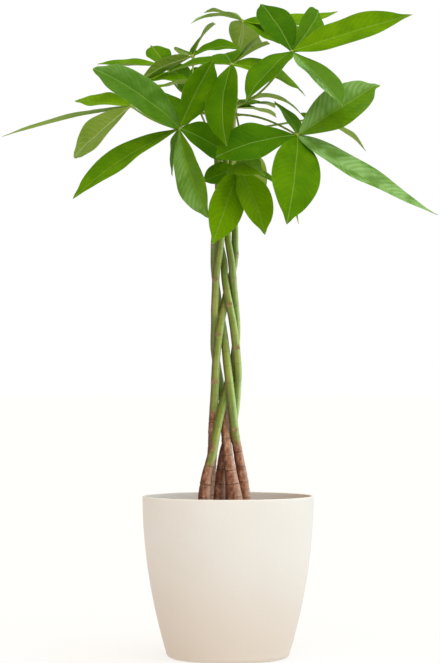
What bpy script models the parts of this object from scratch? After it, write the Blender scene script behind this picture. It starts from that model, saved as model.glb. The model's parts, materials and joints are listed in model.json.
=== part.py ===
"""Potted money tree: five braided stems in a turned planter, with hand-shaped compound leaves.

Metres, +Z up. The origin is on the pot's axis, at the underside of its base.
The front of the plant looks along -Y.
"""
from math import cos, exp, pi, radians, sin

import bmesh
import bpy
from mathutils import Vector

for old in list(bpy.data.objects):
    bpy.data.objects.remove(old)

MM = 0.001
GAP = 0.3 * MM                  # clearance left between neighbours that touch

# ---- pot ----
POT_HEIGHT = 188 * MM
POT_MOUTH_RADIUS = 100 * MM
POT_BELLY_FALL = 29.5 * MM      # how much narrower the foot is than the mouth
POT_BELLY_BEND = 1.95           # 2 would be a parabola
POT_WALL = 2.5 * MM
POT_FLOOR = 4 * MM
FOOT_ROUND = 7 * MM
POT_SEGMENTS = 40
POT_STEPS = 6

# ---- soil ----
SOIL_TOP = 162 * MM
SOIL_DOME = 4 * MM              # the soil stands this much higher at the stems

# ---- stems ----
STEM_BASE_RADIUS = 5.1 * MM     # at BRAID_START, without the swollen foot
STEM_TOP_RADIUS = 2.8 * MM
BRAID_START = 250 * MM
CROWN_HEIGHT = 660 * MM
FOOT_HEIGHT = 181 * MM
STEM_SIDES = 8
STEM_RINGS = 32
STEM_ROUNDING = 3 * MM
STEM_TAPER = 1.3                # above 1, most of the narrowing is near the top
PIT_REACH = 40 * MM             # the pits' cutters rise this far above the soil

# ---- leaves ----
PETIOLE_RADIUS = 1.3 * MM
PETIOLE_SIDES = 6
PETIOLE_STEPS = 9
PETIOLE_PULL = 0.3              # how long it keeps its first and last direction, as a share of its span
HUB_RADIUS = 3.2 * MM
BLADE_THICKNESS = 1.4 * MM
EDGE_THICKNESS = 0.6 * MM
BLADE_FOLD = 0.14               # the edges stand this share of the half width above the midrib
STALK_HALF_WIDTH = 1.1 * MM
BLADE_FULLNESS = 2.0
BLADE_SHARES = [0.015, 0.1, 0.26, 0.44, 0.62, 0.78, 0.92]
FRONT = Vector((0, -1, 0))

# Each stem's route, in mm: height, sideways, depth. They weave in front of and behind each other.
STEM_ROUTES = {
    "stem_left": {
        "foot_swell": 2.2, "foot_length": 26,
        "route": [
            (142, -29, -15), (181, -28, -13), (210, -25.5, -12), (240, -17.6, -11), (265, -13.2, -10),
            (290, -7.5, -5.5), (315, -0.8, 1.0), (345, 6.0, 6.0), (363, 9.0, 6.2), (390, 9.8, 5.0),
            (427, 6.8, 1.0), (445, 5.5, -4.2), (462, 3.8, -5.0), (491, -0.4, -2.2), (532, -1.2, -0.5),
            (579, 3.5, 1.0), (635, 7.0, 0), (655, 10, 0)]},
    "stem_back": {
        "foot_swell": 4.0, "foot_length": 22,
        "route": [
            (142, -12.5, 19), (181, -11.7, 18), (210, -9.0, 16), (240, -4.5, 9), (265, 3.5, 8),
            (290, 8.5, 5), (315, 10.6, 3), (333, 11.4, -3), (363, 9.0, -4.8), (390, 5.6, -6.4),
            (427, -1.6, -5.0), (445, -4.0, -1.0), (462, -4.9, 3), (491, -10.5, 6), (532, -11.2, 6),
            (579, -10.5, 6), (617, -10.5, 7)]},
    "stem_centre": {
        "foot_swell": 5.0, "foot_length": 36,
        "route": [
            (142, 8.0, -3), (181, 7.0, -3), (210, 3.6, -3), (240, -0.8, -4), (265, -3.2, -1),
            (290, -4.8, 6), (307, -7.3, 8.5), (315, -8.7, 9), (345, -13.8, 6.5), (363, -16.0, 6),
            (390, -15.6, 2.0), (405, -15.7, -1.5), (427, -14.8, -4.0), (445, -14.0, -4.6), (462, -11.4, -5.4),
            (491, -7.6, -8.2), (532, -4.2, -8.6), (579, -2.3, -8), (645, -2.3, -7)]},
    "stem_right": {
        "foot_swell": 2.2, "foot_length": 40,
        "route": [
            (142, 20.0, 12), (181, 19.2, 11), (210, 16.6, 9), (240, 11.4, 2.6), (265, 7.3, -5.4),
            (290, 4.8, -8.5), (315, 2.0, -10), (345, -1.5, -5), (363, -3.2, -1), (390, -7.0, 6.5),
            (405, -10.2, 8.4), (427, -12.9, 7), (445, -15.2, 6), (462, -16.4, 3.5), (491, -15.6, -3),
            (532, -12.0, -4.5), (579, -13.0, -3), (610, -17, -3), (638, -25, -3), (668, -29, -2)]},
    "stem_hidden": {
        "foot_swell": 3.3, "foot_length": 40,
        "route": [
            (142, -26.0, 6.5), (181, -25.7, 6), (210, -21.6, 6), (240, -18.4, 2.5), (265, -17.8, 1.5),
            (290, -16.6, 0), (315, -15.3, -3), (345, -14.0, -5.2), (363, -12.2, -5.6), (390, -8.5, -6.2),
            (400, -6.6, -3), (412, -4.2, 1.2), (427, -1.0, 6.5), (445, 4.0, 6.5), (462, 7.6, 5.2),
            (491, 8.2, 4), (532, 7.8, 5), (556, 11.1, 5), (591, 14.0, 5)]},
}

# Each compound leaf, in mm: the stem and height it grows from, the compass angle it leaves at, how
# steeply it arrives at its hub (negative comes from above), the hub, and its leaflets. A leaflet is its
# tip from the hub (x, y, z), width, face angle in degrees, arch, sideways bend and widest place.
# Face angle 0 shows the glossy side to the front, 90 is edge on, 180 shows the underside.
LEAVES = {
    "leaf_upper_right": {
        "stem": "stem_left", "height": 647, "compass": -20, "arrival": 0.5, "hub": (74, -30, 704),
        "leaflets": [
            ((138, -20, 40), 50, 44, 1, 0, 0.48),
            ((54, -80, -73), 47, 50, 3, 0, 0.52),
            ((-35, 60, 66), 42, 20, 6, 0, 0.50),
            ((34, 70, 60), 40, -35, 6, 0, 0.55),
            ((2, 95, 47), 34, 20, 8, 0, 0.50),
            ((-54, -60, -66), 46, 48, 6, 0, 0.45)]},
    "leaf_top": {
        "stem": "stem_centre", "height": 640, "compass": 100, "arrival": 0.5, "hub": (18, 90, 760),
        "leaflets": [
            ((117, 20, 15), 40, 60, -8, 5, 0.50),
            ((-47, 30, 15), 30, 80, 5, 0, 0.50),
            ((-62, -30, -8), 32, 84, 8, 0, 0.50),
            ((-4, 60, -32), 40, 165, 8, 0, 0.55),
            ((52, 10, -28), 40, 45, 5, 0, 0.50)]},
    "leaf_top_front": {
        "stem": "stem_centre", "height": 636, "compass": -80, "arrival": 0.5, "hub": (4, -50, 686),
        "leaflets": [
            ((-6, -60, -100), 44, -35, 6, 4, 0.48),
            ((-9, 80, 24), 34, 10, 4, 0, 0.50),
            ((90, 130, -19), 40, 53, 10, 0, 0.50),
            ((36, 90, 40), 28, 88, 2, 0, 0.60),
            ((45, 50, 32), 26, 88, 2, 0, 0.60),
            ((-74, 40, -4), 40, 70, 6, 0, 0.50)]},
    "leaf_left": {
        "stem": "stem_right", "height": 636, "compass": 210, "arrival": 0.3, "hub": (-56, -60, 611),
        "leaflets": [
            ((-97, -40, 63), 50, 38, 9, 0, 0.52),
            ((39, -2, 79), 44, -40, 4, -5, 0.55),
            ((-120, -30, -83), 47, 53, 7, 0, 0.54),
            ((34, -40, -106), 44, -45, 6, 0, 0.56),
            ((62, 40, -30), 46, 35, 5, 0, 0.50),
            ((-10, 80, -47), 30, 75, 2, 0, 0.55),
            ((-33, 50, 53), 46, 50, 4, 0, 0.50)]},
    "leaf_right": {
        "stem": "stem_left", "height": 634, "compass": -30, "arrival": -0.2, "hub": (79, -70, 602),
        "leaflets": [
            ((95, 10, 62), 53, 25, 0, 0, 0.52),
            ((156, -40, -94), 48, 57, -4, 0, 0.36),
            ((-14, -60, -106), 58, 15, 8, 0, 0.50),
            ((-93, -30, -28), 50, 30, 8, 0, 0.62),
            ((-25, 55, 46), 34, 60, 3, 0, 0.50)]},
    "leaf_low_front": {
        "stem": "stem_hidden", "height": 586, "compass": -60, "arrival": 0.5, "hub": (12, -40, 568),
        "leaflets": [
            ((-30, -40, -91), 44, -25, 0, 0, 0.50),
            ((30, -20, -79), 44, 30, 6, 0, 0.50),
            ((29, -55, -14), 44, 15, 18, 0, 0.50),
            ((-42, -5, -16), 30, 30, 0, 0, 0.50),
            ((71, 50, -61), 36, 80, 15, 0, 0.50)]},
    "leaf_far_left": {
        "stem": "stem_back", "height": 612, "compass": 165, "arrival": 0.5, "hub": (-115, 40, 650),
        "leaflets": [
            ((-152, -20, -39), 40, 85, 3, 0, 0.50),
            ((-66, -40, -66), 46, 122, 3, 0, 0.62),
            ((-70, 40, 11), 44, 60, 1, 0, 0.55),
            ((8, 80, 24), 40, 40, 6, 0, 0.50)]},
    "leaf_upper_left": {
        "stem": "stem_right", "height": 664, "compass": 150, "arrival": 0.5, "hub": (-42, 50, 711),
        "leaflets": [
            ((27, 80, 52), 32, 80, 4, 0, 0.50),
            ((-14, 80, 10), 34, 60, 6, 0, 0.50),
            ((60, -5, 7), 36, 60, 7, 0, 0.50),
            ((-62, -30, -33), 28, 118, 3, 0, 0.55)]},
    "leaf_outer_left": {
        "stem": "stem_right", "height": 655, "compass": 175, "arrival": 0.5, "hub": (-75, 80, 704),
        "leaflets": [
            ((-82, -20, -1), 38, 72, 0, 0, 0.50),
            ((-20, 48, 32), 30, 20, 1, 0, 0.45),
            ((34, 70, -26), 34, 30, 5, 0, 0.50)]},
    "leaf_inner_left": {
        "stem": "stem_back", "height": 603, "compass": 110, "arrival": 0.5, "hub": (-45, 30, 677),
        "leaflets": [
            ((-57, 20, 4), 38, 65, 3, 0, 0.50),
            ((-42, -40, -15), 32, 80, 2, 0, 0.50),
            ((30, 70, 10), 36, 40, 6, 0, 0.50)]},
    "leaf_inner_right": {
        "stem": "stem_hidden", "height": 588, "compass": 60, "arrival": 0.5, "hub": (9, 20, 645),
        "leaflets": [
            ((49, 80, 10), 34, 70, 6, 0, 0.50),
            ((50, 60, -4), 30, 80, 4, 0, 0.50),
            ((80, -10, -12), 34, 86, 18, 0, 0.50),
            ((-58, 70, 6), 36, 50, 6, 0, 0.50)]},
    "leaf_back_right": {
        "stem": "stem_left", "height": 618, "compass": 40, "arrival": 0.0, "hub": (95, 30, 632),
        "leaflets": [
            ((70, 20, -35), 40, 85, 8, 0, 0.50),
            ((47, 70, 20), 34, 60, 4, 0, 0.50),
            ((25, 100, 19), 34, 60, 4, 0, 0.50)]},
    "leaf_low_back": {
        "stem": "stem_back", "height": 592, "compass": 60, "arrival": 0.5, "hub": (5, 80, 611),
        "leaflets": [
            ((37, 60, -67), 42, 150, 8, 0, 0.50),
            ((-8, 80, -72), 42, 160, 8, 0, 0.50),
            ((23, 110, -13), 42, 150, 8, 0, 0.50),
            ((-39, 80, 9), 40, 120, 8, 0, 0.50)]},
}


def material(name, colour, roughness, metallic=0.0):
    """A Principled material of one plain colour."""
    made = bpy.data.materials.new(name)
    made.use_nodes = True
    shader = made.node_tree.nodes["Principled BSDF"]
    shader.inputs["Base Color"].default_value = (*colour, 1)
    shader.inputs["Roughness"].default_value = roughness
    shader.inputs["Metallic"].default_value = metallic
    return made


def add_object(name, mesh, look):
    """Puts a mesh in the scene under the name, smooth shaded but for its sharp corners."""
    mesh.name = name
    mesh.shade_smooth()
    mesh.set_sharp_from_angle(angle=radians(50))
    mesh.materials.clear()
    mesh.materials.append(look)
    placed = bpy.data.objects.new(name, mesh)
    bpy.context.scene.collection.objects.link(placed)
    return placed


def mesh_of(bm, name):
    """Turns a bmesh into a mesh whose faces point out."""
    bmesh.ops.recalc_face_normals(bm, faces=bm.faces)
    mesh = bpy.data.meshes.new(name)
    bm.to_mesh(mesh)
    bm.free()
    return mesh


def turned(name, outline):
    """Spins an outline of (radius, height) points about +Z into a closed solid."""
    bm = bmesh.new()
    points = [bm.verts.new((radius, 0, height)) for radius, height in outline]
    edges = [bm.edges.new(pair) for pair in zip(points, points[1:])]
    bmesh.ops.spin(bm, geom=points + edges, cent=(0, 0, 0), axis=(0, 0, 1), angle=2 * pi,
                   steps=POT_SEGMENTS, use_merge=True)
    bmesh.ops.remove_doubles(bm, verts=bm.verts, dist=0.01 * MM)
    return mesh_of(bm, name)


def arc(centre, radius, start, end, steps):
    """Points on a circle from one angle to another, in degrees."""
    angles = [radians(start + (end - start) * step / steps) for step in range(steps + 1)]
    return [(centre[0] + radius * cos(angle), centre[1] + radius * sin(angle)) for angle in angles]


def pot_radius(height):
    """The planter's outside radius: it opens fast at the foot and stands upright at the mouth."""
    return POT_MOUTH_RADIUS - POT_BELLY_FALL * (1 - height / POT_HEIGHT) ** POT_BELLY_BEND


def inner_radius(height):
    return pot_radius(height) - POT_WALL


def spread(low, high, steps):
    """Evenly spaced values from low to high, both included."""
    return [low + (high - low) * step / steps for step in range(steps + 1)]


def make_pot(look):
    """A thin turned wall with a flat foot, a rounded foot edge and a rounded rim."""
    foot = (pot_radius(FOOT_ROUND) - FOOT_ROUND, FOOT_ROUND)
    outline = [(0, 0)] + arc(foot, FOOT_ROUND, -90, 0, 4)
    outline += [(pot_radius(height), height) for height in spread(FOOT_ROUND, POT_HEIGHT, POT_STEPS)[1:-1]]
    rim = (POT_MOUTH_RADIUS - POT_WALL / 2, POT_HEIGHT - POT_WALL / 2)
    outline += arc(rim, POT_WALL / 2, 0, 180, 4)
    inside = reversed(spread(POT_FLOOR, POT_HEIGHT, POT_STEPS)[:-1])
    outline += [(inner_radius(height), height) for height in inside]
    outline += [(0, POT_FLOOR)]
    return add_object("pot", turned("pot", outline), look)


def stem_centre(spec, height):
    """The stem's centre at a height: a smooth cubic through the route's points."""
    route = [Vector((x, y, level)) * MM for level, x, y in spec["route"]]
    spans = len(route) - 1
    index = max([place for place in range(spans) if route[place].z <= height], default=0)
    start, end = route[index], route[index + 1]
    before, after = route[max(index - 1, 0)], route[min(index + 2, spans)]
    rise = end.z - start.z
    share = (height - start.z) / rise
    slope_in = (end - before) / (end.z - before.z) * rise
    slope_out = (after - start) / (after.z - start.z) * rise
    centre = (start * (2 * share ** 3 - 3 * share ** 2 + 1) + end * (3 * share ** 2 - 2 * share ** 3)
              + slope_in * (share ** 3 - 2 * share ** 2 + share) + slope_out * (share ** 3 - share ** 2))
    return Vector((centre.x, centre.y, height))


def stem_radius(spec, height):
    """Tapers upward and swells toward the foot."""
    share = min(max((height - BRAID_START) / (CROWN_HEIGHT - BRAID_START), 0), 1)
    taper = STEM_BASE_RADIUS + (STEM_TOP_RADIUS - STEM_BASE_RADIUS) * share ** STEM_TAPER
    above = max(height - FOOT_HEIGHT, 0) / (spec["foot_length"] * MM)
    return taper + spec["foot_swell"] * MM * exp(-above ** 1.5)


def stem_path(spec):
    """The stem's centre line and radii from foot to tip, with a rounded end at both."""
    low = spec["route"][0][0] * MM
    high = spec["route"][-1][0] * MM
    heights = [low] + spread(low + STEM_ROUNDING, high - STEM_ROUNDING, STEM_RINGS) + [high]
    radii = [stem_radius(spec, height) for height in heights]
    radii[0] *= 0.6
    radii[-1] *= 0.5
    return [stem_centre(spec, height) for height in heights], radii


def tube(name, centres, radii, sides):
    """A round tube with filled caps along a path, its radius given at each point."""
    curve = bpy.data.curves.new(name, "CURVE")
    curve.dimensions = "3D"
    curve.bevel_depth = 1.0
    curve.bevel_resolution = sides // 2 - 2
    curve.use_fill_caps = True
    spline = curve.splines.new("POLY")
    spline.points.add(len(centres) - 1)
    for point, centre, radius in zip(spline.points, centres, radii):
        point.co = (*centre, 1)
        point.radius = radius
    guide = bpy.data.objects.new(name, curve)
    bpy.context.scene.collection.objects.link(guide)
    bpy.context.view_layer.update()
    mesh = bpy.data.meshes.new_from_object(guide.evaluated_get(bpy.context.evaluated_depsgraph_get()))
    bpy.data.objects.remove(guide)
    bm = bmesh.new()
    bm.from_mesh(mesh)
    bmesh.ops.remove_doubles(bm, verts=bm.verts, dist=0.001 * MM)
    return mesh_of(bm, name)


def combine(name, first, others, operation):
    """One mesh from a Boolean of the first mesh with all the others."""
    base = bpy.data.objects.new(name, first)
    bpy.context.scene.collection.objects.link(base)
    tools = bpy.data.collections.new(name + "_tools")
    bpy.context.scene.collection.children.link(tools)
    for other in others:
        tools.objects.link(bpy.data.objects.new(other.name, other))
    cut = base.modifiers.new("combine", "BOOLEAN")
    cut.operation = operation
    cut.solver = "EXACT"
    cut.operand_type = "COLLECTION"
    cut.collection = tools
    bpy.context.view_layer.update()
    mesh = bpy.data.meshes.new_from_object(base.evaluated_get(bpy.context.evaluated_depsgraph_get()))
    for helper in list(tools.objects) + [base]:
        bpy.data.objects.remove(helper)
    bpy.data.collections.remove(tools)
    return mesh


def make_stems(looks):
    for name, spec in STEM_ROUTES.items():
        centres, radii = stem_path(spec)
        add_object(name, tube(name, centres, radii, STEM_SIDES), looks[name])


def make_soil(look):
    """The root ball: it fills the pot to SOIL_TOP, with a pit around each stem's foot."""
    heights = spread(POT_FLOOR + GAP, SOIL_TOP, POT_STEPS)
    outline = [(0, heights[0])] + [(inner_radius(height) - 2 * GAP, height) for height in heights]
    middle = inner_radius(SOIL_TOP) / 2
    outline += [(middle, SOIL_TOP + 0.8 * SOIL_DOME), (0, SOIL_TOP + SOIL_DOME)]
    pits = []
    for name, spec in STEM_ROUTES.items():
        centres, radii = stem_path(spec)
        centres[0] = centres[0] - Vector((0, 0, GAP))
        buried = [index for index, centre in enumerate(centres) if centre.z < SOIL_TOP + PIT_REACH]
        pits.append(tube(name + "_pit", [centres[index] for index in buried],
                         [radii[index] + 1.5 * GAP for index in buried], STEM_SIDES))
    soil = combine("potting_soil", turned("soil", outline), pits, "DIFFERENCE")
    add_object("potting_soil", soil, look)


def blade_frame(reach, face_angle):
    """The leaflet's own directions: along it, out of its glossy side, and across it."""
    along = reach.normalized()
    toward = (FRONT - along * FRONT.dot(along)).normalized()
    upward = along.cross(toward)
    if upward.z + 0.2 * upward.x < 0:
        upward = -upward
    out = toward * cos(radians(face_angle)) + upward * sin(radians(face_angle))
    return along, out, along.cross(out)


def blade_half_width(share, width, widest):
    """A narrow stalk, the widest place where it is asked for, and a pointed tip."""
    rising = (share / widest) ** (BLADE_FULLNESS * widest)
    falling = ((1 - share) / (1 - widest)) ** (BLADE_FULLNESS * (1 - widest))
    return max(width / 2 * rising * falling, STALK_HALF_WIDTH)


def leaflet(name, hub, spec):
    """A thin closed blade that arches from the hub to its tip, folded a little along the midrib."""
    reach, width, face_angle, arch, bend, widest = spec
    reach = Vector(reach) * MM
    along, out, across = blade_frame(reach, face_angle)
    bm = bmesh.new()
    rings = []
    for share in BLADE_SHARES:
        lift = 4 * share * (1 - share)
        centre = hub + reach * share + out * arch * MM * lift + across * bend * MM * lift
        half = blade_half_width(share, width * MM, widest)
        edge = centre + out * BLADE_FOLD * (half - STALK_HALF_WIDTH)
        thick, thin = out * BLADE_THICKNESS / 2, out * EDGE_THICKNESS / 2
        side = across * half
        ring = [edge - side + thin, centre + thick, edge + side + thin,
                edge + side - thin, centre - thick, edge - side - thin]
        rings.append([bm.verts.new(corner) for corner in ring])
    tip = bm.verts.new(hub + reach)
    bm.faces.new(rings[0])
    for ring, following in zip(rings, rings[1:]):
        for corner in range(len(ring)):
            after = (corner + 1) % len(ring)
            bm.faces.new((ring[corner], ring[after], following[after], following[corner]))
    for corner in range(len(ring)):
        bm.faces.new((rings[-1][corner], rings[-1][(corner + 1) % len(ring)], tip))
    bmesh.ops.triangulate(bm, faces=bm.faces)
    return mesh_of(bm, name)


def petiole_path(spec, hub):
    """Leaves the stem square to its bark and rises to the hub."""
    stem = STEM_ROUTES[spec["stem"]]
    start = stem_centre(stem, spec["height"] * MM)
    compass = radians(spec["compass"])
    outward = Vector((cos(compass), sin(compass), 0))
    foot = start + outward * (stem_radius(stem, start.z) + GAP)
    span = (hub - foot).length
    first = foot + outward * span * PETIOLE_PULL
    arrival = (hub - foot).normalized() + Vector((0, 0, spec["arrival"]))
    last = hub - arrival.normalized() * span * PETIOLE_PULL
    path = []
    for share in spread(0, 1, PETIOLE_STEPS):
        rest = 1 - share
        path.append(rest ** 3 * foot + 3 * rest ** 2 * share * first
                    + 3 * rest * share ** 2 * last + share ** 3 * hub)
    return path


def make_leaf(name, spec, look):
    """One grown piece: a petiole, its hub and the leaflets that spread from it."""
    hub = Vector(spec["hub"]) * MM
    path = petiole_path(spec, hub)
    petiole = tube(name + "_petiole", path, [PETIOLE_RADIUS] * len(path), PETIOLE_SIDES)
    bm = bmesh.new()
    bmesh.ops.create_icosphere(bm, subdivisions=1, radius=HUB_RADIUS)
    bmesh.ops.translate(bm, verts=bm.verts, vec=hub)
    pieces = [mesh_of(bm, name + "_hub")]
    for index, leaflet_spec in enumerate(spec["leaflets"]):
        pieces.append(leaflet(f"{name}_{index}", hub, leaflet_spec))
    add_object(name, combine(name, petiole, pieces, "UNION"), look)


def main():
    make_pot(material("cream_plastic", (0.84, 0.79, 0.71), 0.5))
    bark = {name: material(name + "_bark", (0.26, 0.19, 0.07), 0.7) for name in STEM_ROUTES}
    make_stems(bark)
    make_soil(material("dark_soil", (0.05, 0.035, 0.025), 0.95))
    for index, (name, spec) in enumerate(LEAVES.items()):
        green = (0.07 + 0.012 * (index % 4), 0.22 + 0.02 * (index % 3), 0.015)
        make_leaf(name, spec, material(name + "_green", green, 0.35))


main()
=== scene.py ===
# %% [markdown]
# # A potted money tree, leaf by leaf
#
# The plant stands in a plain cream planter. Five thin stems are braided together, and each carries
# hand-shaped leaves of three to seven leaflets. The measured model gives every size and place; this
# file builds the surfaces that the eye sees around it: turned plastic, crumbly soil, ringed bark and
# quilted leaf blades.
#
# Each surface is a formula worked out on a whole grid of points at once. Lengths are in metres, +Z is
# up, the plant's front looks along -Y, and the origin is under the middle of the pot.

# %% Open the measured model
import json

import bpy
import numpy as np
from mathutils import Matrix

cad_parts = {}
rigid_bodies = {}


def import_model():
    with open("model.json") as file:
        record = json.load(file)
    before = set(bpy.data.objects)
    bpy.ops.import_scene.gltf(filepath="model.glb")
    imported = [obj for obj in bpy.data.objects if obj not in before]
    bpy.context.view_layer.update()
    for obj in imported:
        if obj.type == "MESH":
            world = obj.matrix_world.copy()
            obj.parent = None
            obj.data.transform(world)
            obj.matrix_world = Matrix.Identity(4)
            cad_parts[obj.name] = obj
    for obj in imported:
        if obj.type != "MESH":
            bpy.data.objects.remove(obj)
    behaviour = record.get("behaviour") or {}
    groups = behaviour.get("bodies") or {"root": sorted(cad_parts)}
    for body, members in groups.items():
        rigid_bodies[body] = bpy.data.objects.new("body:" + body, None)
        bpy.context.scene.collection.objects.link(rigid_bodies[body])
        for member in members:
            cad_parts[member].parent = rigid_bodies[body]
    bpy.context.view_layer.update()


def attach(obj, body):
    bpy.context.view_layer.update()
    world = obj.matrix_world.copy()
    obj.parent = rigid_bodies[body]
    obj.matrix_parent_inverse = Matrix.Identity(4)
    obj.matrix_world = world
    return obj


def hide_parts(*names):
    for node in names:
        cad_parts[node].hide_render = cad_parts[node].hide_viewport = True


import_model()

# %% [markdown]
# ## Tools for whole arrays
#
# Nature is never quite even. `patches` is the one source of unevenness here: random heights on a loose
# grid, joined by easy curves, so nearby points get nearly the same value. The same seed always gives
# the same pattern, so the plant grows the same way each time.

# %% Easy steps and smooth random patches
MM = 0.001
TURN = 2 * np.pi


def ease(low, high, values):
    """0 below low, 1 above high, and an S-shaped rise between: share squared times (3 - 2 share)."""
    share = np.clip((values - low) / (high - low), 0, 1)
    return share * share * (3 - 2 * share)


def patches(seed, along, around, cells_along, cells_around):
    """Smooth random values from -1 to 1 over two shares, each from 0 to 1.

    Random heights stand on a grid of cells, and each point blends the four around it with `ease`.
    The pattern joins itself where the second share passes 1, so it closes round a tube.
    """
    heights = np.random.default_rng(seed).uniform(-1, 1, (cells_along + 2, cells_around))
    along, around = np.broadcast_arrays(along * cells_along, around * cells_around)
    row, column = np.floor(along).astype(int), np.floor(around).astype(int)
    down, across = ease(0, 1, along - row), ease(0, 1, around - column)
    here, after = column % cells_around, (column + 1) % cells_around
    near = heights[row, here] * (1 - across) + heights[row, after] * across
    far = heights[row + 1, here] * (1 - across) + heights[row + 1, after] * across
    return near * (1 - down) + far * down


def unit(vectors):
    """Each vector divided by its own length."""
    return vectors / np.linalg.norm(vectors, axis=-1, keepdims=True)


print("a few patch values:", patches(1, np.array([0.1, 0.5, 0.9]), 0.5, 4, 4).round(2))

# %% [markdown]
# ## From a grid of points to a piece
#
# Every surface below is a grid whose rows run along the shape and whose columns run round it, like a
# rolled sheet. The last column joins the first, and a face closes each end, so the surface is
# watertight. A piece is several such grids in one mesh. The signed volume says which way the faces
# look: if it comes out negative, their corners are listed the other way round.

# %% Rolled grids, joined into a mesh
def rolled(points, blade=None, size=None, finish=0, **marks):
    """One watertight grid: points (rows, columns, 3), its two optional maps and its named marks."""
    rows, columns = points.shape[:2]
    index = np.arange(rows * columns).reshape(rows, columns)
    index = np.concatenate([index, index[:, :1]], axis=1)
    quads = np.stack([index[:-1, :-1], index[:-1, 1:], index[1:, 1:], index[1:, :-1]], axis=-1)
    quads = quads.reshape(-1, 4)
    corner = points.reshape(-1, 3) - points.reshape(-1, 3).mean(axis=0)
    a, b, c, d = (corner[quads[:, side]] for side in range(4))
    volume = (np.cross(b, c) * a).sum() + (np.cross(c, d) * a).sum()
    finishes = np.broadcast_to(finish, (rows - 1, columns)).reshape(-1)
    maps = {"blade": blade, "size": size}
    return {"points": points, "quads": quads, "inside_out": volume < 0, "finishes": finishes,
            "maps": {name: grid for name, grid in maps.items() if grid is not None}, "marks": marks}


def faces_of(grid, start):
    """Corner lists of one grid's quads and its two end faces, numbered from start."""
    rows, columns = grid["points"].shape[:2]
    first = np.arange(columns)[::-1] + start
    last = np.arange(columns) + start + (rows - 1) * columns
    faces = (grid["quads"] + start).tolist() + [first.tolist(), last.tolist()]
    return [face[::-1] for face in faces] if grid["inside_out"] else faces


def corners_of(grid, values):
    """The map's value at each face corner, in the same order as `faces_of` lists them."""
    rows, columns = grid["points"].shape[:2]
    quads = np.stack([values[:-1, :-1], values[:-1, 1:], values[1:, 1:], values[1:, :-1]], axis=2)
    quads = quads.reshape(-1, 4, 2)
    ends = [values[0, :columns][::-1], values[-1, :columns]]
    if grid["inside_out"]:
        quads = quads[:, ::-1]
        ends = [end[::-1] for end in ends]
    return np.concatenate([quads.reshape(-1, 2)] + ends)


def stand(name, data):
    """A new object in the scene that holds a mesh, a lamp or a camera."""
    made = bpy.data.objects.new(name, data)
    bpy.context.scene.collection.objects.link(made)
    return made


def add_piece(name, grids, materials, node, sharp_angle=50):
    """Joins the grids into one mesh object, which rides with the plant and stands for a CAD node."""
    starts = np.cumsum([0] + [grid["points"].shape[0] * grid["points"].shape[1] for grid in grids])
    faces = [face for grid, start in zip(grids, starts) for face in faces_of(grid, int(start))]
    mesh = bpy.data.meshes.new(name)
    mesh.from_pydata(np.concatenate([grid["points"].reshape(-1, 3) for grid in grids]), [], faces)
    for look in materials:
        mesh.materials.append(look)
    finishes = [np.append(grid["finishes"], grid["finishes"][[0, -1]]) for grid in grids]
    mesh.polygons.foreach_set("material_index", np.concatenate(finishes).astype(np.int32))
    for label in sorted({label for grid in grids for label in grid["maps"]}):
        layer = mesh.uv_layers.new(name=label)
        empty = [np.zeros((grid["points"].shape[0], grid["points"].shape[1] + 1, 2)) for grid in grids]
        corners = [corners_of(grid, grid["maps"].get(label, blank)) for grid, blank in zip(grids, empty)]
        layer.data.foreach_set("uv", np.concatenate(corners).astype(np.float32).reshape(-1))
    for label in sorted({label for grid in grids for label in grid["marks"]}):
        values = [np.broadcast_to(grid["marks"].get(label, 0.0), grid["points"].shape[:2]).reshape(-1)
                  for grid in grids]
        mark = mesh.attributes.new(label, "FLOAT", "POINT")
        mark.data.foreach_set("value", np.concatenate(values).astype(np.float32))
    mesh.shade_smooth()
    mesh.set_sharp_from_angle(angle=np.radians(sharp_angle))
    piece = stand(name, mesh)
    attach(piece, "root")
    if node:
        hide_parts(node)
    return piece


def swept(path, radii, sides, guide=None):
    """A tube: each ring is the path's point plus radius times (side cos turn + up sin turn).

    Side is square to both the path and a guide, which is the world axis that the path follows least
    unless one is given, so rings never flip.
    """
    along = unit(np.gradient(path, axis=0))
    if guide is None:
        guide = np.eye(3)[np.abs(along).max(axis=0).argmin()]
    side = unit(np.cross(along, guide))
    up = np.cross(side, along)
    turn = np.arange(sides) / sides * TURN
    ring = side[:, None] * np.cos(turn)[:, None] + up[:, None] * np.sin(turn)[:, None]
    radii = np.broadcast_to(radii if np.ndim(radii) == 2 else np.asarray(radii)[:, None], ring.shape[:2])
    return path[:, None] + ring * radii[..., None]


print("tools ready")

# %% [markdown]
# ## Tools for finishes
#
# A finish is a small chain of nodes that ends in the Principled shader. These helpers add one node at a
# time and name its inputs, so that each finish further down reads as a list of what it is made of.

# %% Node helpers
def new_finish(name, **sockets):
    """A material with a Principled shader. Plain numbers are set straight on the shader's sockets."""
    made = bpy.data.materials.new(name)
    made.use_nodes = True
    shader = made.node_tree.nodes["Principled BSDF"]
    for socket, value in sockets.items():
        shader.inputs[socket.replace("_", " ")].default_value = value
    return made, made.node_tree, shader


def add_node(tree, kind, inputs, **settings):
    """Adds a node. Each input is a plain value or another node's output."""
    node = tree.nodes.new(kind)
    for key, value in settings.items():
        setattr(node, key, value)
    for key, value in inputs.items():
        if isinstance(value, bpy.types.NodeSocket):
            tree.links.new(value, node.inputs[key])
        else:
            node.inputs[key].default_value = value
    return node


def math(tree, operation, first, second=0.0):
    """One step of arithmetic on numbers, named by its operation."""
    return add_node(tree, "ShaderNodeMath", {0: first, 1: second}, operation=operation).outputs[0]


def times(tree, first, second):
    """The product of two numbers."""
    return math(tree, "MULTIPLY", first, second)


def parts_of(tree, vector):
    """The three parts of a vector, x, y and z."""
    return add_node(tree, "ShaderNodeSeparateXYZ", {0: vector}).outputs


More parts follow.
